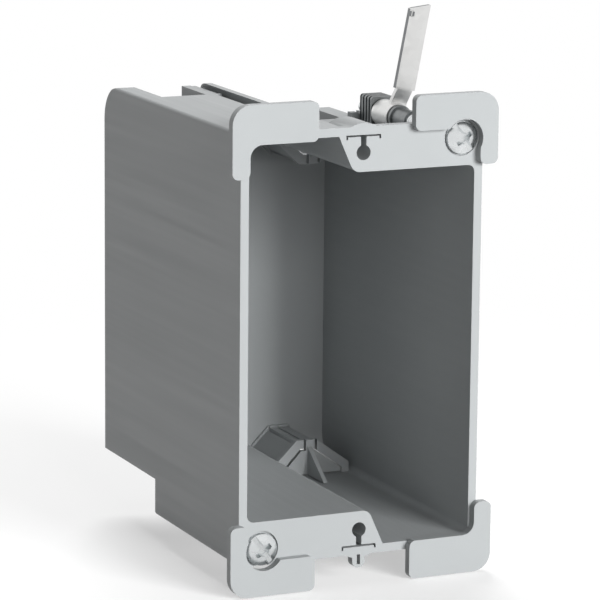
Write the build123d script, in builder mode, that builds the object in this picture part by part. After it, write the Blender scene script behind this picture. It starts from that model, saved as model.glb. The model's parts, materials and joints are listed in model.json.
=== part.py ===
"""Single-gang switch box for a finished wall, with two swing brackets on long clamp screws.

Frame, in millimetres: X to the right, Y into the wall, Z up. The rim's front face is Y = 0 and the
origin is midway between the two device-screw holes.
"""
from build123d import *
import math
import os

# Moulded shell
box_half_width = 28.55
box_half_height = 47.3
box_depth = 79.4
side_wall = 1.9
end_wall = 1.9
back_wall = 1.9
rim_depth = 2.2
back_corner_radius = 8.0
long_edge_radius = 0.8
cavity_corner_radius = 1.6

# Lowered stretch of each end wall, which leaves a pocket outside for the swing bracket
step_inner_height = 37.5
step_wall = 1.4
slant_outer_x = 5.8
slant_inner_x = 2.3
slant_wall = 1.75
slant_round = 2.4
pocket_end_depth = 48.0
pocket_end_wall = 1.9
skirt_rise = 3.9
skirt_start_depth = 16.0
skirt_slope_length = 5.0
skirt_end_margin = 2.0
skirt_tail_rise = 1.3
skirt_tail_end = 60.5
skirt_knob_length = 2.6
skirt_knob_rise = 0.7

# Shallow outside recess beside the slanted wall, with a ledge at the front
ledge_depth = 14.3
recess_edge_x = 11.0
recess_floor = 45.0
recess_wall = 1.6

# Corner ears that stop the box at the wall's face
ear_thickness = 2.0
ear_reach_x = 31.3
ear_reach_z = 53.6
ear_leg_end_z = 37.8
ear_foot_x = 11.4
ear_plain_inner_x = 27.2
ear_plain_inner_z = 45.0
ear_screw_inner_x = 27.1
ear_screw_inner_z = 45.9
ear_outer_radius = 4.2
ear_end_radius = 1.4
ear_inner_radius = 2.8
ear_head_gap = 0.35

# Device-screw holes and the slits that let their bosses spread
device_spacing = 83.34
device_hole_diameter = 3.3
device_boss_radius = 6.4
device_boss_depth = 10.0
boss_slit_height = 3.65
boss_slit_half_width = 3.9
boss_slit_width = 0.4
boss_slit_hook = 1.0
boss_neck_width = 1.3
tab_half_width = 1.5
tab_reach = 2.9
tab_slot_width = 0.75
tab_slot_length = 2.2

# Clamp screw, number 6 by 32 threads to the inch
screw_x = 23.3
screw_rise = 4.7
screw_radius = 1.75
screw_tip_depth = 49.5
screw_tip_chamfer = 0.7
screw_hole_clearance = 0.3
head_radius = 3.55
head_rim_height = 1.1
head_height = 2.3
head_seat_depth = 0.6
head_seat_clearance = 0.45
slot_width = 1.15
slot_depth = 1.2
cross_width = 1.3
cross_length = 4.2
cross_depth = 1.5
cross_taper = 12.0
slot_turn = 35.0

# Saddle that carries the screw's tip
saddle_left_x = 18.6
saddle_height = 3.1
saddle_horn_width = 1.6
saddle_horn_rise = 0.8
saddle_clearance = 0.3

# Clamp nut: a threaded sleeve with a square end that cannot turn
nut_bore_clearance = 0.06
sleeve_radius = 2.35
sleeve_start_depth = 23.6
nut_block_depth = 39.2
nut_end_depth = 45.2
nut_half_width = 2.9
nut_block_below = 2.9
nut_block_above = 3.6
nut_corner_radius = 0.7
nut_groove_width = 0.7
nut_groove_depth = 0.45
nut_groove_pitch = 1.5

# Swing bracket, folded from galvanised strip
strip = 1.3
bend_radius = 0.7
collar_clearance = 0.06
collar_radius = 3.1
collar_front_depth = 31.2
collar_side_gap = 0.3
shoulder_radius = 2.8
shoulder_length = 1.0
strip_root_setback = 0.9
blade_front_depth = 30.4
neck_half_width = 1.9
neck_start = 3.3
blade_start = 6.4
blade_half_width = 2.4
blade_tip_long = 26.0
blade_tip_short = 24.5
barb_width = 0.8
barb_height = 1.0
barb_setback = 1.1
swing_out_angle = 101.0

# Cable clamps: inward folds of the end walls with a springy finger each
clamp_x = 16.5
clamp_front_depth = 60.6
clamp_wall = 1.4
clamp_height = 8.1
clamp_crown_shift = 1.6
clamp_crown_half = 2.3
clamp_foot_half = 8.9
clamp_inner_foot_height = 3.2
clamp_outer_foot_height = 2.1
crown_share = 0.45
foot_share = 0.6
clamp_lip = 0.5
clamp_lip_length = 1.5
clamp_root_length = 0.8
lip_band = 1.6
finger_gap = 0.5
finger_outer_gap = 0.25
finger_foot_gap = 0.3
crown_slit_shift = 2.6
tongue_inner_shift = 0.4
tongue_outer_shift = -2.4
slit_width = 0.6
slit_end_gap = 0.4
gusset_shift = 0.8
gusset_thickness = 1.0
gusset_front_depth = 51.3
gusset_top_gap = 1.0
gusset_overlap = 0.2
lead_in_start = 55.5
lead_in_drop = 1.2
guide_rib_width = 2.2
guide_rib_end = 70.0

cavity_half_width = box_half_width - side_wall
cavity_half_height = box_half_height - end_wall
cavity_depth = box_depth - back_wall
step_outer_height = step_inner_height + step_wall
skirt_height = step_outer_height + skirt_rise
skirt_tail_height = step_outer_height + skirt_tail_rise
screw_z = step_outer_height + screw_rise
overrun = 3.0
device_z = device_spacing / 2
collar_length = nut_block_depth - collar_side_gap - collar_front_depth
strip_root_depth = collar_front_depth + strip_root_setback
screw_hole_radius = screw_radius + screw_hole_clearance


def face_plane(depth):
    """Plane across the box at a depth, with local x along X and local y along Z."""
    return Plane.XZ.offset(-depth)


def end_planes(depth):
    """The same plane for the upper end and, turned half round, for the lower end."""
    lower = Plane(origin=(0, depth, 0), x_dir=(-1, 0, 0), z_dir=(0, -1, 0))
    return face_plane(depth), lower


def both_ends(points):
    """A closed outline from its upper half and the same half turned round."""
    return points + [(-x, -z) for x, z in points]


def slant_point(height, offset=0.0):
    """X of the slanted wall's cavity face at a height, or of a line moved to the pocket side."""
    share = (height - step_inner_height) / (cavity_half_height - step_inner_height)
    return -slant_inner_x - share * (slant_outer_x - slant_inner_x) + offset


def inward_of(center):
    """Side of a clamp, seen along its plane, that faces the middle of the box."""
    return -1 if center > 0 else 1


def clamp_outline(grow, base_drop, center, base):
    """Outline of a clamp fold at the upper end, opened or closed by a wall's thickness."""
    inward = inward_of(center)
    crown = center + inward * clamp_crown_shift
    crown_half = clamp_crown_half + crown_share * grow
    foot = clamp_foot_half + grow
    high = base - clamp_height - grow
    return [
        (center - inward * foot, base + base_drop),
        (center - inward * foot, base - clamp_outer_foot_height - foot_share * grow),
        (crown - inward * crown_half, high),
        (crown + inward * crown_half, high),
        (center + inward * foot, base - clamp_inner_foot_height - foot_share * grow),
        (center + inward * foot, base + base_drop),
    ]


clamps = ((-clamp_x, cavity_half_height, end_wall), (clamp_x, step_inner_height, step_wall))

with BuildPart() as box_shell:
    with BuildSketch(face_plane(0)):
        Rectangle(2 * box_half_width, 2 * box_half_height)
    extrude(amount=-box_depth)
    fillet(box_shell.edges().filter_by(Axis.Y), long_edge_radius)

    # Cavity, with its lowered stretches and slanted corners
    half_outline = [
        (-cavity_half_width, cavity_half_height),
        (-slant_outer_x, cavity_half_height),
        (-slant_inner_x, step_inner_height),
        (cavity_half_width, step_inner_height),
    ]
    with BuildSketch(face_plane(0)) as mouth:
        Polygon(*both_ends(half_outline), align=None)
        corners = mouth.vertices().filter_by(lambda v: abs(v.X) > cavity_half_width - 0.1)
        fillet(corners, cavity_corner_radius)
        fillet(mouth.vertices().filter_by(lambda v: slant_inner_x - 0.1 < abs(v.X) < slant_inner_x + 0.1),
               slant_round)
    extrude(amount=-cavity_depth, mode=Mode.SUBTRACT)

    # The cavity's rounded back corners, which follow the outside ones
    inner_radius = back_corner_radius - back_wall
    for turn in (1, -1):
        with BuildSketch(Plane.YZ.offset(-turn * cavity_half_width)):
            with BuildLine():
                round_start = (cavity_depth - inner_radius, turn * cavity_half_height)
                round_end = (cavity_depth, turn * (cavity_half_height - inner_radius))
                TangentArc(round_start, round_end, tangent=(1, 0))
                Polyline(round_end, (cavity_depth, turn * cavity_half_height), round_start)
            make_face()
        extrude(amount=turn * (cavity_half_width - slant_inner_x))

    # Outside pockets behind the rim, and the open corner behind them
    pocket = [
        (slant_point(box_half_height + overrun, slant_wall), box_half_height + overrun),
        (slant_point(step_outer_height, slant_wall), step_outer_height),
        (cavity_half_width, step_outer_height),
        (cavity_half_width, box_half_height + overrun),
    ]
    corner = pocket[:2] + [
        (box_half_width + overrun, step_outer_height),
        (box_half_width + overrun, box_half_height + overrun),
    ]
    with BuildSketch(*end_planes(rim_depth)):
        Polygon(*pocket, align=None)
    extrude(amount=rim_depth - pocket_end_depth, mode=Mode.SUBTRACT)
    with BuildSketch(*end_planes(pocket_end_depth)):
        Polygon(*corner, align=None)
    extrude(amount=pocket_end_depth - box_depth - overrun, mode=Mode.SUBTRACT)

    # Bosses for the device screws, with the rim's small arch and the lower tab
    with BuildSketch(*end_planes(0)):
        with Locations((0, device_z)):
            Circle(device_boss_radius)
    extrude(amount=-device_boss_depth)
    extrude(mouth.sketch, amount=-device_boss_depth, mode=Mode.SUBTRACT)
    with BuildSketch(end_planes(0)[1]):
        with Locations((0, box_half_height)):
            RectangleRounded(2 * tab_half_width, 2 * tab_reach, tab_half_width * 0.9)
    extrude(amount=-rim_depth)

    # Shallow outside recess in the upper wall, and the ceiling that carries it
    recess_left = -recess_edge_x
    recess_right = slant_point(recess_floor)
    with BuildSketch(face_plane(ledge_depth - recess_wall)):
        with BuildLine():
            Polyline(
                (recess_left - recess_wall, cavity_half_height + end_wall / 2),
                (recess_left - recess_wall, recess_floor - recess_wall),
                (slant_point(recess_floor - recess_wall), recess_floor - recess_wall),
                (slant_point(cavity_half_height, slant_wall / 2), cavity_half_height + end_wall / 2),
                close=True,
            )
        make_face()
    extrude(amount=ledge_depth - recess_wall - cavity_depth)
    with BuildSketch(face_plane(ledge_depth)):
        with BuildLine():
            Polyline(
                (recess_left, box_half_height + overrun),
                (recess_left, recess_floor),
                (recess_right, recess_floor),
                (slant_point(box_half_height + overrun), box_half_height + overrun),
                close=True,
            )
        make_face()
    extrude(amount=ledge_depth - box_depth - overrun, mode=Mode.SUBTRACT)

    # Cable clamps: a fold into the cavity, with its lip in front and its root at the back wall
    for center, base, wall in clamps:
        with BuildSketch(*end_planes(clamp_front_depth)):
            Polygon(*clamp_outline(0, wall / 2, center, base), align=None)
        extrude(amount=clamp_front_depth - cavity_depth - back_wall / 2)
        with BuildSketch(*end_planes(clamp_front_depth)):
            Polygon(*clamp_outline(clamp_lip, wall / 2, center, base), align=None)
        extrude(amount=-clamp_lip_length)
        with BuildSketch(*end_planes(cavity_depth - clamp_root_length)):
            Polygon(*clamp_outline(clamp_lip, wall / 2, center, base), align=None)
        extrude(amount=-clamp_root_length - back_wall / 2)
    for center, base, wall in clamps:
        inward = inward_of(center)
        crown = center + inward * clamp_crown_shift
        tongue_inner = crown + inward * tongue_inner_shift
        tongue_outer = crown + inward * tongue_outer_shift

        # Way in from behind
        with BuildSketch(*end_planes(clamp_front_depth + clamp_wall)):
            Polygon(*clamp_outline(-clamp_wall, wall + overrun, center, base), align=None)
        extrude(amount=clamp_front_depth + clamp_wall - box_depth - overrun, mode=Mode.SUBTRACT)

        # Slits that free the finger at its inner side, its outer side and its foot
        band = clamp_outline(-lip_band, 0, center, base)
        finger = clamp_outline(-lip_band - finger_gap, 0, center, base)
        edge = clamp_outline(-clamp_wall, 0, center, base)
        flap = clamp_outline(-clamp_wall - finger_outer_gap, 0, center, base)
        foot_x = finger[5][0] + inward * finger_outer_gap
        foot_z = finger[4][1] + (band[4][1] - finger[4][1]) * finger_outer_gap / finger_gap
        with BuildSketch(*end_planes(clamp_front_depth)):
            Polygon(band[4], band[3], (tongue_inner, band[3][1]), (tongue_inner, finger[3][1]), finger[3],
                    finger[4], finger[5], (foot_x, base), (foot_x, foot_z), align=None)
            Polygon(edge[0], edge[1], edge[2], flap[2], flap[1], flap[0], align=None)
            Polygon(flap[0], (flap[0][0], base - finger_foot_gap), (finger[5][0], base - finger_foot_gap),
                    finger[5], align=None)
        extrude(amount=-clamp_wall - clamp_lip, mode=Mode.SUBTRACT)

        # Slits along the crown: two that free the tongue, and one at the inner edge
        slit_end = cavity_depth - slit_end_gap
        slit_start = clamp_front_depth + clamp_wall + slit_end_gap
        for offset, start in ((tongue_inner, clamp_front_depth), (tongue_outer, clamp_front_depth),
                              (crown + inward * crown_slit_shift, slit_start)):
            with BuildSketch(*end_planes(start)):
                with Locations((offset, base - clamp_height)):
                    Rectangle(slit_width, 3 * clamp_wall)
            extrude(amount=start - slit_end, mode=Mode.SUBTRACT)

    # Gusset on each finger
    for center, base, wall in clamps:
        for turn in (1, -1):
            with BuildSketch(Plane.YZ.offset(turn * (center + inward_of(center) * gusset_shift))):
                with BuildLine():
                    Polyline(
                        (clamp_front_depth + gusset_overlap, turn * (base - clamp_height + gusset_top_gap)),
                        (gusset_front_depth, turn * (base - finger_foot_gap)),
                        (clamp_front_depth + gusset_overlap, turn * (base - finger_foot_gap)),
                        close=True,
                    )
                make_face()
            extrude(amount=gusset_thickness / 2, both=True)

    # Lead-in ramps on the outside, in front of each deep clamp
    for turn in (1, -1):
        with BuildSketch(Plane.YZ.offset(-turn * clamp_x)):
            with BuildLine():
                Polyline(
                    (lead_in_start, turn * box_half_height),
                    (clamp_front_depth + clamp_wall, turn * (box_half_height - lead_in_drop)),
                    (clamp_front_depth + clamp_wall, turn * (box_half_height + overrun)),
                    (lead_in_start, turn * (box_half_height + overrun)),
                    close=True,
                )
            make_face()
        extrude(amount=clamp_foot_half - clamp_wall, both=True, mode=Mode.SUBTRACT)

    # Guide rib in the recess, beside the way in
    with BuildSketch(face_plane(lead_in_start)):
        with Locations((-recess_edge_x - guide_rib_width / 2, box_half_height)):
            Rectangle(guide_rib_width, box_half_height - recess_floor + recess_wall / 2,
                      align=(Align.CENTER, Align.MAX))
    extrude(amount=lead_in_start - guide_rib_end)

    # Skirt beside the upper pocket: low, with a slope and a small knob behind
    with BuildSketch(Plane.YZ.offset(cavity_half_width)):
        with BuildLine():
            Polyline(
                (skirt_start_depth, box_half_height + overrun),
                (skirt_start_depth + skirt_slope_length, skirt_height),
                (pocket_end_depth - skirt_end_margin, skirt_height),
                (pocket_end_depth + skirt_slope_length, step_outer_height),
                (pocket_end_depth + skirt_slope_length, box_half_height + overrun),
                close=True,
            )
        make_face()
    extrude(amount=side_wall + overrun, mode=Mode.SUBTRACT)
    with BuildSketch(Plane.YZ.offset(cavity_half_width)):
        with BuildLine():
            Polyline(
                (pocket_end_depth - side_wall, step_inner_height),
                (pocket_end_depth - side_wall, skirt_height),
                (pocket_end_depth, skirt_height),
                (pocket_end_depth + skirt_slope_length, skirt_tail_height),
                (skirt_tail_end - 2 * skirt_knob_length, skirt_tail_height),
                (skirt_tail_end - skirt_knob_length, skirt_tail_height + skirt_knob_rise),
                (skirt_tail_end, skirt_tail_height + skirt_knob_rise),
                (skirt_tail_end, step_inner_height),
                close=True,
            )
        make_face()
    extrude(amount=side_wall)

    # Rounded back corners, through everything that reaches them
    for turn in (1, -1):
        with BuildSketch(Plane.YZ):
            with BuildLine():
                round_start = (box_depth - back_corner_radius, turn * box_half_height)
                round_end = (box_depth, turn * (box_half_height - back_corner_radius))
                far = overrun + box_half_height
                TangentArc(round_start, round_end, tangent=(1, 0))
                Polyline(round_end, (box_depth + overrun, round_end[1]), (box_depth + overrun, turn * far),
                         (round_start[0], turn * far), round_start)
            make_face()
        extrude(amount=box_half_width + overrun, both=True, mode=Mode.SUBTRACT)

    # Saddles for the screws' tips
    with BuildSketch(*end_planes(pocket_end_depth - pocket_end_wall)):
        saddle_right = cavity_half_width + side_wall / 2
        with BuildLine():
            Polyline(
                (saddle_left_x, step_inner_height + step_wall / 2),
                (saddle_left_x, step_outer_height + saddle_height + saddle_horn_rise),
                (saddle_left_x + saddle_horn_width, step_outer_height + saddle_height + saddle_horn_rise),
                (saddle_left_x + 1.6 * saddle_horn_width, step_outer_height + saddle_height),
                (saddle_right, step_outer_height + saddle_height),
                (saddle_right, step_inner_height + step_wall / 2),
                close=True,
            )
        make_face()
        with Locations((screw_x, screw_z)):
            Circle(screw_radius + saddle_clearance, mode=Mode.SUBTRACT)
    extrude(amount=-pocket_end_wall)

    # Ears: two plain, and two that curve round a screw head
    with BuildSketch(*end_planes(0)):
        for side, inner_x, inner_z in ((-1, ear_plain_inner_x, ear_plain_inner_z),
                                       (1, ear_screw_inner_x, ear_screw_inner_z)):
            with BuildLine():
                FilletPolyline(
                    (side * ear_reach_x, ear_leg_end_z),
                    (side * ear_reach_x, ear_reach_z),
                    (side * ear_foot_x, ear_reach_z),
                    (side * ear_foot_x, inner_z),
                    (side * inner_x, inner_z),
                    (side * inner_x, ear_leg_end_z),
                    close=True,
                    radius=(ear_end_radius, ear_outer_radius, ear_end_radius,
                            ear_end_radius, ear_inner_radius, ear_end_radius),
                )
            make_face()
        with Locations((screw_x, screw_z)):
            Circle(head_radius + head_seat_clearance + ear_head_gap, mode=Mode.SUBTRACT)
    extrude(amount=ear_thickness)

    # Holes for the clamp screws, with seats for their heads
    with BuildSketch(*end_planes(0)):
        with Locations((screw_x, screw_z)):
            Circle(head_radius + head_seat_clearance)
    extrude(amount=-head_seat_depth, mode=Mode.SUBTRACT)
    with BuildSketch(*end_planes(0)):
        with Locations((screw_x, screw_z)):
            Circle(screw_hole_radius)
    extrude(amount=-rim_depth - overrun, mode=Mode.SUBTRACT)

    # Device-screw holes, each with its neck and slit
    for plane, up in zip(end_planes(0), (1, -1)):
        with BuildSketch(plane):
            with Locations((0, device_z)):
                Circle(device_hole_diameter / 2)
            with Locations((0, device_z + boss_slit_height / 2)):
                Rectangle(boss_neck_width, boss_slit_height)
            with Locations((0, device_z + boss_slit_height)):
                Rectangle(2 * boss_slit_half_width, boss_slit_width)
            hook_middle = device_z + boss_slit_height - up * (boss_slit_hook - boss_slit_width) / 2
            with Locations((-boss_slit_half_width, hook_middle), (boss_slit_half_width, hook_middle)):
                Rectangle(boss_slit_width, boss_slit_hook)
        extrude(amount=-device_boss_depth - overrun, mode=Mode.SUBTRACT)
    with BuildSketch(end_planes(0)[1]):
        with Locations((0, box_half_height + tab_slot_length / 2)):
            Rectangle(tab_slot_width, tab_slot_length)
    extrude(amount=-rim_depth - overrun, mode=Mode.SUBTRACT)

box_shell.part.label = "box_shell"


def make_screw(turned):
    """Pan-head clamp screw with a slot and cross, at the upper end or turned to the lower one."""
    plane = end_planes(0)[turned]
    axis_plane = Plane(origin=plane.from_local_coords((screw_x, screw_z, 0)), x_dir=plane.x_dir,
                       z_dir=plane.z_dir)
    side = Plane(origin=axis_plane.origin, x_dir=axis_plane.x_dir, z_dir=-axis_plane.y_dir)
    with BuildPart() as screw:
        with BuildSketch(side):
            with BuildLine():
                seat = -head_seat_depth
                crown = seat + head_height
                Polyline((0, crown), (0, -screw_tip_depth), (screw_radius - screw_tip_chamfer, -screw_tip_depth),
                         (screw_radius, -screw_tip_depth + screw_tip_chamfer), (screw_radius, seat),
                         (head_radius, seat), (head_radius, seat + head_rim_height))
                TangentArc((0, crown), (head_radius, seat + head_rim_height), tangent=(1, 0))
            make_face()
        revolve(axis=Axis(axis_plane.origin, axis_plane.z_dir))
        top = axis_plane.offset(crown)
        with BuildSketch(top):
            Rectangle(slot_width, 3 * head_radius, rotation=slot_turn)
        extrude(amount=-slot_depth, mode=Mode.SUBTRACT)
        with BuildSketch(top):
            Rectangle(cross_length, cross_width, rotation=slot_turn)
        extrude(amount=-cross_depth, taper=cross_taper, mode=Mode.SUBTRACT)
        with BuildSketch(top):
            Circle(cross_width)
        extrude(amount=-cross_depth, taper=cross_taper, mode=Mode.SUBTRACT)
    return screw


def make_nut(turned):
    """Threaded sleeve on the screw, with a grooved square end."""
    block_plane = end_planes(nut_block_depth)[turned]
    with BuildPart() as nut:
        with BuildSketch(end_planes(sleeve_start_depth)[turned]):
            with Locations((screw_x, screw_z)):
                Circle(sleeve_radius)
        extrude(amount=sleeve_start_depth - nut_end_depth)
        with BuildSketch(end_planes(collar_front_depth - collar_side_gap)[turned]):
            with Locations((screw_x, screw_z)):
                Circle(shoulder_radius)
        extrude(amount=shoulder_length)
        with BuildSketch(block_plane) as block:
            with Locations((screw_x, screw_z - nut_block_below)):
                Rectangle(2 * nut_half_width, nut_block_below + nut_block_above, align=(Align.CENTER, Align.MIN))
            fillet(block.vertices(), nut_corner_radius)
        extrude(amount=nut_block_depth - nut_end_depth)
        groove_count = int((nut_end_depth - nut_block_depth) / nut_groove_pitch)
        for index in range(groove_count):
            depth = nut_block_depth + nut_groove_pitch * (index + 0.5)
            with BuildSketch(end_planes(depth)[turned]):
                with Locations((screw_x, screw_z + nut_block_above)):
                    Rectangle(3 * nut_half_width, 2 * nut_groove_depth)
                with Locations((screw_x - nut_half_width, screw_z)):
                    Rectangle(2 * nut_groove_depth, 3 * nut_half_width)
            extrude(amount=-nut_groove_width, mode=Mode.SUBTRACT)
        with BuildSketch(end_planes(sleeve_start_depth)[turned]):
            with Locations((screw_x, screw_z)):
                Circle(screw_radius + nut_bore_clearance)
        extrude(amount=sleeve_start_depth - nut_end_depth, mode=Mode.SUBTRACT)
    return nut


def make_bracket(turned, swing):
    """Swing bracket: collar, joggled neck and blade, turned out of its pocket by the swing angle."""
    plane = end_planes(0)[turned]
    axis = Axis(plane.from_local_coords((screw_x, screw_z, 0)), plane.z_dir)
    turn = math.radians(swing)
    reach = -plane.x_dir * math.cos(turn) + plane.y_dir * math.sin(turn)
    frame = Plane(origin=axis.position, x_dir=reach, z_dir=plane.z_dir)
    side = Plane(origin=frame.origin, x_dir=frame.x_dir, z_dir=-frame.y_dir)
    with BuildPart() as bracket:
        # The strip's path from collar to tip, as seen along its width
        with BuildSketch(side):
            with BuildLine():
                front = FilletPolyline(
                    (0, -strip_root_depth),
                    (neck_start, -strip_root_depth),
                    (blade_start, -blade_front_depth),
                    (blade_tip_long + overrun, -blade_front_depth),
                    radius=(bend_radius, bend_radius + strip),
                )
                back = FilletPolyline(
                    (0, -strip_root_depth - strip),
                    (neck_start, -strip_root_depth - strip),
                    (blade_start, -blade_front_depth - strip),
                    (blade_tip_long + overrun, -blade_front_depth - strip),
                    radius=(bend_radius + strip, bend_radius),
                )
                Line(front @ 0, back @ 0)
                Line(front @ 1, back @ 1)
            make_face()
        extrude(amount=blade_half_width * 2, both=True)
        # Its outline, as seen from the front
        with BuildSketch(frame):
            with BuildLine():
                Polyline(
                    (0, -neck_half_width),
                    (blade_start, -neck_half_width),
                    (blade_start, -blade_half_width),
                    (blade_tip_long, -blade_half_width),
                    (blade_tip_short, blade_half_width),
                    (blade_start, blade_half_width),
                    (blade_start, neck_half_width),
                    (0, neck_half_width),
                    close=True,
                )
            make_face()
            Circle(collar_radius)
        extrude(amount=-nut_end_depth, mode=Mode.INTERSECT)
        # Collar round the nut's sleeve
        with BuildSketch(frame.offset(-collar_front_depth)):
            Circle(collar_radius)
        extrude(amount=-collar_length)
        with BuildSketch(frame.offset(-collar_front_depth + overrun)):
            Circle(sleeve_radius + collar_clearance)
        extrude(amount=-collar_length - 2 * overrun, mode=Mode.SUBTRACT)
        # Barb turned forward at the blade's long corner
        with BuildSketch(frame.offset(-blade_front_depth)):
            with Locations((blade_tip_short - barb_setback, blade_half_width - barb_width / 2)):
                Rectangle(barb_width * 1.6, barb_width)
        extrude(amount=barb_height)
    return bracket


top_clamp_screw = make_screw(0)
top_clamp_screw.part.label = "top_clamp_screw"
bottom_clamp_screw = make_screw(1)
bottom_clamp_screw.part.label = "bottom_clamp_screw"
top_clamp_nut = make_nut(0)
top_clamp_nut.part.label = "top_clamp_nut"
bottom_clamp_nut = make_nut(1)
bottom_clamp_nut.part.label = "bottom_clamp_nut"
top_swing_bracket = make_bracket(0, swing_out_angle)
top_swing_bracket.part.label = "top_swing_bracket"
bottom_swing_bracket = make_bracket(1, 0)
bottom_swing_bracket.part.label = "bottom_swing_bracket"

os.makedirs("parts", exist_ok=True)
export_step(box_shell.part, "parts/box_shell.step")
export_step(top_clamp_screw.part, "parts/top_clamp_screw.step")
export_step(bottom_clamp_screw.part, "parts/bottom_clamp_screw.step")
export_step(top_clamp_nut.part, "parts/top_clamp_nut.step")
export_step(bottom_clamp_nut.part, "parts/bottom_clamp_nut.step")
export_step(top_swing_bracket.part, "parts/top_swing_bracket.step")
export_step(bottom_swing_bracket.part, "parts/bottom_swing_bracket.step")
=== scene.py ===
"""Looks of a single-gang plastic switch box with swing brackets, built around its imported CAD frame.

Lengths are metres. +X is right, +Y goes into the wall and +Z is up, as in the frame.
"""

import json
import math

import bmesh
import bpy
from bpy.props import FloatProperty, FloatVectorProperty, IntProperty, PointerProperty
from mathutils import Matrix, Vector


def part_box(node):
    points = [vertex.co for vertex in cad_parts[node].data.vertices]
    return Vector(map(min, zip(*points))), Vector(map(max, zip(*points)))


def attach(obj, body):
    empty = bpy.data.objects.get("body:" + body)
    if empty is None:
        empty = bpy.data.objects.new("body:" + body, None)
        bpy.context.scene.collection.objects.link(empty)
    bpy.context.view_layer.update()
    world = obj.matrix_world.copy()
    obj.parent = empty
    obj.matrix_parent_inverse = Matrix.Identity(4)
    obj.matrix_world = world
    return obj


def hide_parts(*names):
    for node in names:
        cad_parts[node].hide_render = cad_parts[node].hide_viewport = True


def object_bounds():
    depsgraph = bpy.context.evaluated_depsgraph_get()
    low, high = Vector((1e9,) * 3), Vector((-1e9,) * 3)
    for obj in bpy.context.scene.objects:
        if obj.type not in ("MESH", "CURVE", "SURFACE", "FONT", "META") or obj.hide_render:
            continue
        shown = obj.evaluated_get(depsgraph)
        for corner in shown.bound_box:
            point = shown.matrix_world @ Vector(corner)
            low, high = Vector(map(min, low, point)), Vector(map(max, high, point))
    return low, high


bl_info = {
    "name": "Switch box",
    "version": (1, 0, 0),
    "blender": (4, 5, 0),
    "location": "View3D > Sidebar > Switch box",
    "description": "Builds the finished look of a plastic switch box with clamp screws and swing brackets",
    "category": "Object",
}

MM = 0.001
SHEARED = "sheared"
WHITE = (1.0, 1.0, 1.0, 1.0)

# Vertices nearer than this are one, and faces that turn less than this are one flat face
WELD = 0.001 * MM
FLAT_ANGLE = math.radians(0.5)

# Clamp screws: the CAD's plain shank is cut off behind the head, and a threaded one takes its place
SHANK_CUT_DEPTH = 0.6 * MM
THREAD_START_DEPTH = 0.3 * MM
THREAD_END_GAP = 0.1 * MM
CREST_RADIUS = 1.75 * MM

# Half widths of the thread's ridge and how far it sinks into the core, as shares of the pitch
RIDGE_FOOT = 0.46
RIDGE_TOP = 0.08
RIDGE_SINK = 0.1

# Sizes of the patterns in the materials
FLOW_PATCH = 22 * MM
ZINC_CLOUD = 1.8 * MM
HANDLING_MARK = 0.25 * MM
SPANGLE = 1.6 * MM
ROLLED_LINE = 0.3 * MM

# A noise texture's factor stays mostly within this span
NOISE_SPAN = (0.3, 0.7)

# Roughness of the zinc plate, and how far its clouds move it up and down
SCREW_ROUGHNESS = 0.27
NUT_ROUGHNESS = 0.38
CLOUD_ROUGHNESS = 0.07
# How bright the darkest cloud of the plate and the darkest spangle of the strip are, as shares of the colour
CLOUD_SHADE = 0.82
SPANGLE_SHADE = 0.95

# Floor, in metres: from its middle to an edge, and its gap below the object
FLOOR_REACH = 4.0
FLOOR_GAP = 0.2 * MM
# Grey of its paper as it is seen and as it lights the object, and the part of the shadow's reach with no fade
PAPER_GREY = 0.5
BOUNCE_GREY = 0.3
SHADOW_CORE = 0.3

# Soft lamps: name, place, side of the square, and the stage setting that holds the power
LAMPS = (
    ("key_softbox", (0.50, -1.36, 0.38), 0.6, "key_power"),
    ("front_softbox", (0.0, -1.44, 0.42), 0.6, "front_power"),
    ("left_softbox", (-1.28, -0.74, 0.26), 0.6, "fill_power"),
    ("back_softbox", (0.17, 0.95, 1.15), 0.8, "back_power"),
)
SENSOR_WIDTH = 36.0

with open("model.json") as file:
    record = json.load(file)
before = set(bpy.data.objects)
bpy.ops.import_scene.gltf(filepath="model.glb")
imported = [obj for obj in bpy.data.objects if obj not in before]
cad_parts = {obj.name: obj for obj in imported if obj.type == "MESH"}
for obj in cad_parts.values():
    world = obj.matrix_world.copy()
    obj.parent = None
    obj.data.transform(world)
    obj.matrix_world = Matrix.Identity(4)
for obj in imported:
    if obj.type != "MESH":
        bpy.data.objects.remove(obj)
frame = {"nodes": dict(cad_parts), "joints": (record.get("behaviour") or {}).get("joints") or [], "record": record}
cad_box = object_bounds()


def linear(hex_colour):
    """A linear colour from an sRGB hex value such as #B9BBBC."""
    channels = [int(hex_colour[i:i + 2], 16) / 255 for i in (1, 3, 5)]
    return tuple(c / 12.92 if c <= 0.04045 else ((c + 0.055) / 1.055) ** 2.4 for c in channels)


def axis_of(joint_name):
    """A joint's point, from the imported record, in metres."""
    joint = next(j for j in frame["joints"] if j["name"] == joint_name)
    return Vector(joint["pos_m"])


class SwitchBoxPlastic(bpy.types.PropertyGroup):
    """Colour and surface of the moulded box"""
    colour: FloatVectorProperty(
        name="Colour", description="Light grey of the moulding", subtype="COLOR",
        default=linear("#9DA0A1"), min=0, max=1)
    shade: FloatVectorProperty(
        name="Shade", description="Slightly darker grey of its flow patches", subtype="COLOR",
        default=linear("#979A9B"), min=0, max=1)
    edge_round: FloatProperty(
        name="Edge round", description="Radius on the moulding's edges", unit="LENGTH",
        default=0.28 * MM, min=0, precision=5)
    grain: FloatProperty(
        name="Grain", description="Width of a grain of the mould's matt finish", unit="LENGTH",
        default=0.45 * MM, min=0.01 * MM, precision=5)
    draw_mark: FloatProperty(
        name="Draw mark", description="Spacing of the faint marks along the draw", unit="LENGTH",
        default=1.6 * MM, min=0.1 * MM, precision=5)


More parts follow.
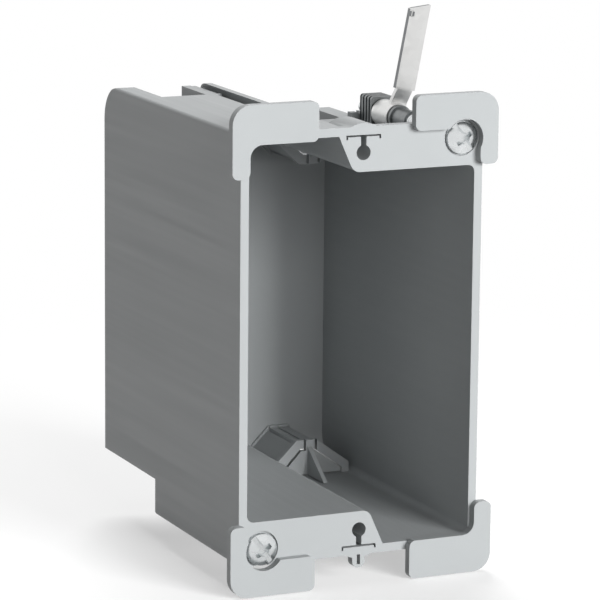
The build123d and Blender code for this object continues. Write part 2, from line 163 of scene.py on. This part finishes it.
class SwitchBoxMetal(bpy.types.PropertyGroup):
    """Colours and small sizes of the screws, nuts and brackets"""
    zinc: FloatVectorProperty(
        name="Zinc", description="Bright zinc plate of the screws", subtype="COLOR",
        default=linear("#E4E7E8"), min=0, max=1)
    # Zinc of the nuts: a darker grey than the screws' zinc, which is painted shade of the pocket that the nuts sit
    # in
    nut_zinc_painted_shade: FloatVectorProperty(
        name="Nut zinc", description="Duller zinc of the nuts", subtype="COLOR",
        default=linear("#8C8F90"), min=0, max=1)
    galvanised: FloatVectorProperty(
        name="Galvanised", description="Zinc coat of the bracket's strip", subtype="COLOR",
        default=linear("#E6E6E5"), min=0, max=1)
    raw_steel: FloatVectorProperty(
        name="Raw steel", description="Bare steel on the strip's sheared edges", subtype="COLOR",
        default=linear("#7C7E80"), min=0, max=1)
    strip_thickness: FloatProperty(
        name="Strip thickness", description="Faces no wider than this are sheared edges", unit="LENGTH",
        default=1.3 * MM, min=0.1 * MM, precision=5)
    thread_pitch: FloatProperty(
        name="Thread pitch", description="Number 6 by 32 threads to the inch", unit="LENGTH",
        default=0.79375 * MM, min=0.1 * MM, precision=6)
    thread_depth: FloatProperty(
        name="Thread depth", description="From the crest to the root", unit="LENGTH",
        default=0.42 * MM, min=0, precision=5)
    steps_a_turn: IntProperty(
        name="Steps a turn", description="Facets in one turn of the thread", default=28, min=12)
    edge_round: FloatProperty(
        name="Edge round", description="Radius on the metal's edges", unit="LENGTH",
        default=0.12 * MM, min=0, precision=5)


class SwitchBoxStage(bpy.types.PropertyGroup):
    """Floor, light and camera"""
    yaw: FloatProperty(
        name="Yaw", description="How far the view turns to the right of +Y", subtype="ANGLE",
        default=math.radians(24.3834))
    pitch: FloatProperty(
        name="Pitch", description="How far the view looks down", subtype="ANGLE",
        default=math.radians(11.6173))
    roll: FloatProperty(
        name="Roll", description="How far the camera leans", subtype="ANGLE",
        default=math.radians(0.5224))
    distance: FloatProperty(
        name="Distance", description="From the camera to the plane of its aim", unit="LENGTH",
        default=0.762456)
    aim_right: FloatProperty(
        name="Aim right", description="The aim's place to the right of the origin", unit="LENGTH",
        default=-13.221 * MM)
    aim_up: FloatProperty(
        name="Aim up", description="The aim's place above the origin", unit="LENGTH",
        default=9.322 * MM)
    lens: FloatProperty(
        name="Lens", description="Focal length on a 36 mm wide sensor, in millimetres",
        default=211.818)
    key_power: FloatProperty(
        name="Key power", description="Soft lamp in front, a little to the right", unit="POWER", default=34.0)
    front_power: FloatProperty(
        name="Front power", description="Soft lamp straight in front", unit="POWER", default=8.0)
    fill_power: FloatProperty(
        name="Fill power", description="Soft lamp on the left", unit="POWER", default=2.0)
    back_power: FloatProperty(
        name="Back power", description="Soft lamp behind and above", unit="POWER", default=20.0)
    ambient: FloatProperty(
        name="Ambient", description="Strength of the light from all round", default=0.01)
    shadow_reach: FloatProperty(
        name="Shadow reach", description="Radius beyond which the floor is plain white", unit="LENGTH",
        default=0.3)


def feed(tree, node, links):
    """Gives a node's inputs a value or the link from a socket."""
    for name, value in links.items():
        if isinstance(value, bpy.types.NodeSocket):
            tree.links.new(value, node.inputs[name])
        else:
            node.inputs[name].default_value = value


def add_node(tree, kind, links=None, **settings):
    """Adds a node. The links feed its inputs, and the other settings are its attributes."""
    node = tree.nodes.new(kind)
    for name, value in settings.items():
        setattr(node, name, value)
    feed(tree, node, links or {})
    return node


def start_material(name):
    """A new node material, its tree and its shader, with Object coordinates ready."""
    material = bpy.data.materials.new(name)
    material.use_nodes = True
    tree = material.node_tree
    shader = tree.nodes["Principled BSDF"]
    place = add_node(tree, "ShaderNodeTexCoord")
    return material, tree, shader, place.outputs["Object"]


def colour_socket(colour, shade=1.0):
    """A colour, times a shade, with its alpha, as a socket wants it."""
    return (*(shade * channel for channel in colour), 1.0)


def noise(tree, place, size, detail):
    """A noise texture's factor, with features of about the given size."""
    node = add_node(tree, "ShaderNodeTexNoise", {"Vector": place, "Scale": 1 / size, "Detail": detail})
    return node.outputs["Fac"]


def mixed(tree, factor, first, second):
    """A mix of two colours by a factor. Each colour is a socket or a value with its alpha."""
    return add_node(tree, "ShaderNodeMix", {0: factor, 6: first, 7: second}, data_type="RGBA").outputs[2]


def ranged(tree, factor, low, high, span):
    """A value that goes from low to high as a factor goes over its span."""
    node = add_node(tree, "ShaderNodeMapRange",
                    {"Value": factor, "From Min": span[0], "From Max": span[1],
                     "To Min": low, "To Max": high})
    return node.outputs[0]


def bump(tree, height, strength, depth, normal=None):
    """Bumps of a given depth, on top of an earlier bump where one is given."""
    links = {"Height": height, "Strength": strength, "Distance": depth}
    if normal is not None:
        links["Normal"] = normal
    return add_node(tree, "ShaderNodeBump", links).outputs[0]


def moulded_pvc(settings):
    """PVC, injection moulded: even grey, matt from the mould's spark finish, with faint flow patches
    and marks along the draw."""
    material, tree, shader, place = start_material("moulded_grey_pvc")
    patches = noise(tree, place, FLOW_PATCH, detail=3.0)
    colour = mixed(tree, patches, colour_socket(settings.colour), colour_socket(settings.shade))
    along_draw = add_node(tree, "ShaderNodeMapping", {"Vector": place, "Scale": (1.0, 0.02, 1.0)})
    marks = noise(tree, along_draw.outputs[0], settings.draw_mark, detail=2.0)
    grain = noise(tree, place, settings.grain, detail=2.0)
    fine = bump(tree, grain, strength=0.25, depth=0.02 * MM)
    feed(tree, shader, {
        "Base Color": colour,
        "Roughness": ranged(tree, marks, low=0.4, high=0.5, span=NOISE_SPAN),
        "Normal": bump(tree, marks, strength=0.3, depth=0.03 * MM, normal=fine),
        "IOR": 1.53,
    })
    return material


def zinc_plate(name, plate_colour, roughness):
    """Steel, electroplated with zinc: cool silver with a faint cloud in its gloss and fine handling marks."""
    material, tree, shader, place = start_material(name)
    clouds = noise(tree, place, ZINC_CLOUD, detail=4.0)
    colour = mixed(tree, clouds, colour_socket(plate_colour), colour_socket(plate_colour, CLOUD_SHADE))
    marks = noise(tree, place, HANDLING_MARK, detail=3.0)
    feed(tree, shader, {
        "Base Color": colour,
        "Roughness": ranged(tree, clouds, low=roughness - CLOUD_ROUGHNESS, high=roughness + CLOUD_ROUGHNESS,
                            span=NOISE_SPAN),
        "Normal": bump(tree, marks, strength=0.2, depth=0.01 * MM),
        "Metallic": 1.0,
    })
    return material


def galvanised_strip(settings):
    """Steel strip, galvanised before it was sheared: pale zinc with a faint spangle and rolling lines, and
    grey raw steel on the sheared edges."""
    material, tree, shader, place = start_material("galvanised_steel_strip")
    spangle = add_node(tree, "ShaderNodeTexVoronoi", {"Vector": place, "Scale": 1 / SPANGLE})
    level = add_node(tree, "ShaderNodeSeparateColor", {"Color": spangle.outputs["Color"]})
    zinc = mixed(tree, level.outputs[0], colour_socket(settings.galvanised),
                 colour_socket(settings.galvanised, SPANGLE_SHADE))
    sheared = add_node(tree, "ShaderNodeAttribute", attribute_name=SHEARED)
    rolled = add_node(tree, "ShaderNodeMapping", {"Vector": place, "Scale": (1.0, 1.0, 0.08)})
    lines = noise(tree, rolled.outputs[0], ROLLED_LINE, detail=2.0)
    feed(tree, shader, {
        "Base Color": mixed(tree, sheared.outputs["Fac"], zinc, colour_socket(settings.raw_steel)),
        "Roughness": ranged(tree, level.outputs[1], low=0.34, high=0.5, span=(0.0, 1.0)),
        "Normal": bump(tree, lines, strength=0.2, depth=0.01 * MM),
        "Metallic": 1.0,
    })
    return material


def merged_copy(node):
    """A bmesh of a CAD node with its loose triangles welded and its flat faces joined."""
    bm = bmesh.new()
    bm.from_mesh(frame["nodes"][node].data)
    bmesh.ops.remove_doubles(bm, verts=bm.verts, dist=WELD)
    bmesh.ops.dissolve_limit(bm, angle_limit=FLAT_ANGLE, verts=bm.verts, edges=bm.edges)
    return bm


def round_edges(bm, radius, sharper_than=35.0, room_in_radii=2.6, segments=2):
    """Rounds the edges that turn by more than an angle, where all edges round both ends are long enough."""
    bm.edges.ensure_lookup_table()
    room = room_in_radii * radius

    def roomy(vertex):
        return all(edge.calc_length() > room for edge in vertex.link_edges)

    sharp = [edge for edge in bm.edges
             if len(edge.link_faces) == 2
             and edge.calc_face_angle(0.0) > math.radians(sharper_than)
             and all(roomy(vertex) for vertex in edge.verts)]
    bmesh.ops.bevel(bm, geom=sharp, offset=radius, offset_type="OFFSET", affect="EDGES", segments=segments,
                    profile=0.5, material=-1, clamp_overlap=True)


def soften(mesh, smooth_under=50.0):
    """Gives each corner the mean normal, by area, of the faces at its vertex that turn less than an angle
    from its own face. Large flat faces stay flat, and the rounds beside them lead from one to the next."""
    around = [[] for _ in mesh.vertices]
    for face in mesh.polygons:
        for vertex in face.vertices:
            around[vertex].append((face.normal.copy(), face.area))
    near = math.cos(math.radians(smooth_under))
    normals = []
    for face in mesh.polygons:
        for vertex in face.vertices:
            total = sum((area * normal for normal, area in around[vertex] if normal.dot(face.normal) > near),
                        Vector())
            normals.append(total.normalized() if total.length > 0 else face.normal.copy())
    mesh.shade_smooth()
    mesh.normals_split_custom_set(normals)


def finish_piece(bm, name, node, material):
    """Makes the object that stands for a CAD node: on its body, with its material."""
    mesh = bpy.data.meshes.new(name)
    bm.to_mesh(mesh)
    bm.free()
    soften(mesh)
    mesh.materials.append(material)
    piece = bpy.data.objects.new(name, mesh)
    bpy.context.scene.collection.objects.link(piece)
    record = frame["record"]
    body = next(b for b, nodes in record["behaviour"]["bodies"].items() if node in nodes)
    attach(piece, body)
    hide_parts(node)
    return piece


class SWITCHBOX_OT_shell(bpy.types.Operator):
    """Builds the moulded box with rounded edges and its plastic"""
    bl_idname = "switch_box.shell"
    bl_label = "Moulded box"

    def execute(self, context):
        settings = context.scene.switch_box_plastic
        bm = merged_copy("box_shell")
        round_edges(bm, settings.edge_round)
        finish_piece(bm, "moulded_box", "box_shell", moulded_pvc(settings))
        return {"FINISHED"}


def add_thread(bm, axis_point, core_radius, crest_radius, first, last, pitch, steps):
    """A threaded shank along +Y between two depths: a core and a right-hand ridge. One turn of the ridge is
    spun, and the others are copies of it."""
    middle = (first + last) / 2
    turn_to_depth = Matrix.Rotation(math.radians(-90), 4, "X")
    place = Matrix.Translation((axis_point.x, middle, axis_point.z)) @ turn_to_depth
    bmesh.ops.create_cone(bm, cap_ends=True, segments=steps, radius1=core_radius, radius2=core_radius,
                          depth=last - first, matrix=place)
    turns = int((last - first) / pitch) - 1
    root = core_radius - RIDGE_SINK * pitch
    section = [(root, -RIDGE_FOOT), (core_radius, -RIDGE_FOOT), (crest_radius, -RIDGE_TOP),
               (crest_radius, RIDGE_TOP), (core_radius, RIDGE_FOOT), (root, RIDGE_FOOT)]
    start = first + 0.5 * pitch
    verts = [bm.verts.new((axis_point.x + r, start + share * pitch, axis_point.z)) for r, share in section]
    face = bm.faces.new(verts)
    axis = {"cent": (axis_point.x, 0, axis_point.z), "axis": (0, 1, 0)}
    seen = set(bm.faces)
    bmesh.ops.spin(bm, geom=[face] + list(face.edges) + verts, dvec=(0, pitch / steps, 0), angle=math.tau,
                   steps=steps, use_duplicate=False, **axis)
    turn = [f for f in bm.faces if f not in seen]
    for index in range(1, turns):
        copy = bmesh.ops.duplicate(bm, geom=turn + list({e for f in turn for e in f.edges})
                                   + list({v for f in turn for v in f.verts}))["geom"]
        bmesh.ops.translate(bm, verts=[v for v in copy if isinstance(v, bmesh.types.BMVert)],
                            vec=(0, index * pitch, 0))
    bmesh.ops.remove_doubles(bm, verts=bm.verts, dist=WELD)


class SWITCHBOX_OT_screws(bpy.types.Operator):
    """Builds both clamp screws: the CAD's head, and a threaded shank in place of its plain one"""
    bl_idname = "switch_box.screws"
    bl_label = "Clamp screws"

    def execute(self, context):
        settings = context.scene.switch_box_metal
        plate = zinc_plate("bright_zinc_plate", settings.zinc, SCREW_ROUGHNESS)
        for end in ("top", "bottom"):
            node = f"{end}_clamp_screw"
            axis_point = axis_of(f"{end}_screw_turn")
            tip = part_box(node)[1].y
            bm = merged_copy(node)
            bmesh.ops.bisect_plane(bm, geom=list(bm.verts) + list(bm.edges) + list(bm.faces),
                                   plane_co=(0, SHANK_CUT_DEPTH, 0), plane_no=(0, 1, 0), clear_outer=True)
            rim = [edge for edge in bm.edges if edge.is_boundary]
            bmesh.ops.holes_fill(bm, edges=rim)
            round_edges(bm, settings.edge_round)
            add_thread(bm, axis_point, CREST_RADIUS - settings.thread_depth, CREST_RADIUS, THREAD_START_DEPTH,
                       tip - THREAD_END_GAP, settings.thread_pitch, settings.steps_a_turn)
            bmesh.ops.recalc_face_normals(bm, faces=bm.faces)
            finish_piece(bm, f"{end}_clamp_screw_threaded", node, plate)
        return {"FINISHED"}


class SWITCHBOX_OT_nuts(bpy.types.Operator):
    """Builds both nuts with rounded edges and zinc in a darker grey that is painted shade of the pocket they sit
    in
    """
    bl_idname = "switch_box.nuts"
    bl_label = "Clamp nuts"

    def execute(self, context):
        settings = context.scene.switch_box_metal
        # The nuts' zinc is a darker grey: painted shade of the pocket they sit in
        plate = zinc_plate("dull_zinc_plate", settings.nut_zinc_painted_shade, NUT_ROUGHNESS)
        for end in ("top", "bottom"):
            bm = merged_copy(f"{end}_clamp_nut")
            round_edges(bm, settings.edge_round)
            finish_piece(bm, f"{end}_clamp_nut_grooved", f"{end}_clamp_nut", plate)
        return {"FINISHED"}


def mark_sheared(bm, thickness, turns_over=20.0):
    """Marks the strip's narrow faces for its material: they are where it was sheared. A bend's facets are
    narrow too, but turn little from one to the next."""
    layer = bm.faces.layers.float.new(SHEARED)
    for face in bm.faces:
        alone = all(edge.calc_face_angle(0.0) > math.radians(turns_over) for edge in face.edges)
        if alone and 2 * face.calc_area() / face.calc_perimeter() < thickness:
            face[layer] = 1.0


class SWITCHBOX_OT_brackets(bpy.types.Operator):
    """Builds both swing brackets with rounded edges and bare steel where the strip was sheared"""
    bl_idname = "switch_box.brackets"
    bl_label = "Swing brackets"

    def execute(self, context):
        settings = context.scene.switch_box_metal
        strip = galvanised_strip(settings)
        for end in ("top", "bottom"):
            bm = merged_copy(f"{end}_swing_bracket")
            round_edges(bm, settings.edge_round)
            mark_sheared(bm, settings.strip_thickness)
            finish_piece(bm, f"{end}_swing_bracket_strip", f"{end}_swing_bracket", strip)
        return {"FINISHED"}


def add_lamp(name, place, target, size, power):
    """A square soft lamp that faces a point. Metal shows the white room in place of the lamp."""
    lamp = bpy.data.lights.new(name, "AREA")
    lamp.shape = "SQUARE"
    lamp.size = size
    lamp.energy = power
    holder = bpy.data.objects.new(name, lamp)
    holder.location = place
    holder.rotation_euler = (Vector(target) - Vector(place)).to_track_quat("-Z", "Y").to_euler()
    holder.visible_glossy = False
    bpy.context.scene.collection.objects.link(holder)


def seen_directly(tree):
    """A factor of 1 for rays that show the background: camera, glossy and transmission rays."""
    path = add_node(tree, "ShaderNodeLightPath")
    first = add_node(tree, "ShaderNodeMath",
                     {0: path.outputs["Is Camera Ray"], 1: path.outputs["Is Glossy Ray"]}, operation="ADD")
    both = add_node(tree, "ShaderNodeMath",
                    {0: first.outputs[0], 1: path.outputs["Is Transmission Ray"]}, operation="ADD",
                    use_clamp=True)
    return both.outputs[0]


def paper_floor(settings):
    """White paper: matt, and white where it is seen, with the object's soft shadow near the middle. It
    returns little light to the object, as a floor further below would."""
    material, tree, shader, place = start_material("matt_paper_floor")
    tree.nodes.remove(shader)
    grey = add_node(tree, "ShaderNodeBsdfDiffuse", {"Color": colour_socket(WHITE[:3], BOUNCE_GREY)})
    paper = add_node(tree, "ShaderNodeBsdfDiffuse", {"Color": colour_socket(WHITE[:3], PAPER_GREY)})
    glow = add_node(tree, "ShaderNodeEmission", {"Color": WHITE, "Strength": 1.0 - PAPER_GREY})
    lit = add_node(tree, "ShaderNodeAddShader", {0: paper.outputs[0], 1: glow.outputs[0]})
    white = add_node(tree, "ShaderNodeEmission", {"Color": WHITE, "Strength": 1.0})
    spread = add_node(tree, "ShaderNodeVectorMath", {0: place}, operation="LENGTH")
    far = add_node(tree, "ShaderNodeMapRange",
                   {"Value": spread.outputs["Value"], "From Min": SHADOW_CORE * settings.shadow_reach,
                    "From Max": settings.shadow_reach}, interpolation_type="SMOOTHSTEP")
    seen = add_node(tree, "ShaderNodeMixShader", {0: far.outputs[0], 1: lit.outputs[0], 2: white.outputs[0]})
    both = add_node(tree, "ShaderNodeMixShader", {0: seen_directly(tree), 1: grey.outputs[0],
                                                  2: seen.outputs[0]})
    tree.links.new(both.outputs[0], tree.nodes["Material Output"].inputs["Surface"])
    return material


class SWITCHBOX_OT_stage(bpy.types.Operator):
    """Builds the white floor, the soft light and the camera"""
    bl_idname = "switch_box.stage"
    bl_label = "Stage"

    def execute(self, context):
        settings = context.scene.switch_box_stage
        low, high = (Vector(corner) for corner in cad_box)
        centre = (low + high) / 2

        bm = bmesh.new()
        bmesh.ops.create_grid(bm, x_segments=1, y_segments=1, size=FLOOR_REACH,
                              matrix=Matrix.Translation((0, 0, low.z - FLOOR_GAP)))
        mesh = bpy.data.meshes.new("pale_floor")
        bm.to_mesh(mesh)
        bm.free()
        floor = bpy.data.objects.new("pale_floor", mesh)
        context.scene.collection.objects.link(floor)
        mesh.materials.append(paper_floor(settings))

        world = bpy.data.worlds.new("soft_white_room")
        world.use_nodes = True
        tree = world.node_tree
        tree.nodes.clear()
        ambient = add_node(tree, "ShaderNodeBackground", {"Color": WHITE, "Strength": settings.ambient})
        white = add_node(tree, "ShaderNodeBackground", {"Color": WHITE, "Strength": 1.0})
        mix = add_node(tree, "ShaderNodeMixShader", {0: seen_directly(tree), 1: ambient.outputs[0],
                                                     2: white.outputs[0]})
        add_node(tree, "ShaderNodeOutputWorld", {"Surface": mix.outputs[0]})
        context.scene.world = world

        for name, place, size, power in LAMPS:
            add_lamp(name, place, centre, size, getattr(settings, power))

        turn = (Matrix.Rotation(-settings.yaw, 3, "Z") @ Matrix.Rotation(math.pi / 2 - settings.pitch, 3, "X")
                @ Matrix.Rotation(settings.roll, 3, "Z"))
        camera_data = bpy.data.cameras.new("camera")
        camera_data.lens = settings.lens
        camera_data.sensor_width = SENSOR_WIDTH
        camera = bpy.data.objects.new("camera", camera_data)
        camera.rotation_euler = turn.to_euler()
        camera.location = turn @ Vector((settings.aim_right, settings.aim_up, settings.distance))
        context.scene.collection.objects.link(camera)
        context.scene.camera = camera
        context.scene.view_settings.view_transform = "Standard"
        return {"FINISHED"}


class SWITCHBOX_PT_panel(bpy.types.Panel):
    """Lists the switch box's pieces and settings"""
    bl_label = "Switch box"
    bl_idname = "SWITCHBOX_PT_panel"
    bl_space_type = "VIEW_3D"
    bl_region_type = "UI"
    bl_category = "Switch box"

    def draw(self, context):
        scene = context.scene
        for settings in (scene.switch_box_plastic, scene.switch_box_metal, scene.switch_box_stage):
            box = self.layout.box()
            for name in settings.__annotations__:
                box.prop(settings, name)
        for operator in operators:
            self.layout.operator(operator.bl_idname)


operators = (SWITCHBOX_OT_shell, SWITCHBOX_OT_screws, SWITCHBOX_OT_nuts, SWITCHBOX_OT_brackets,
             SWITCHBOX_OT_stage)
classes = (SwitchBoxPlastic, SwitchBoxMetal, SwitchBoxStage, *operators, SWITCHBOX_PT_panel)


def register():
    """Adds the classes and the scene's settings"""
    for item in classes:
        bpy.utils.register_class(item)
    bpy.types.Scene.switch_box_plastic = PointerProperty(type=SwitchBoxPlastic)
    bpy.types.Scene.switch_box_metal = PointerProperty(type=SwitchBoxMetal)
    bpy.types.Scene.switch_box_stage = PointerProperty(type=SwitchBoxStage)


def unregister():
    """Takes the settings and the classes away again"""
    del bpy.types.Scene.switch_box_stage
    del bpy.types.Scene.switch_box_metal
    del bpy.types.Scene.switch_box_plastic
    for item in reversed(classes):
        bpy.utils.unregister_class(item)


def main():
    """Builds every piece and the stage"""
    register()
    bpy.ops.switch_box.shell()
    bpy.ops.switch_box.screws()
    bpy.ops.switch_box.nuts()
    bpy.ops.switch_box.brackets()
    bpy.ops.switch_box.stage()


if __name__ == "__main__":
    main()
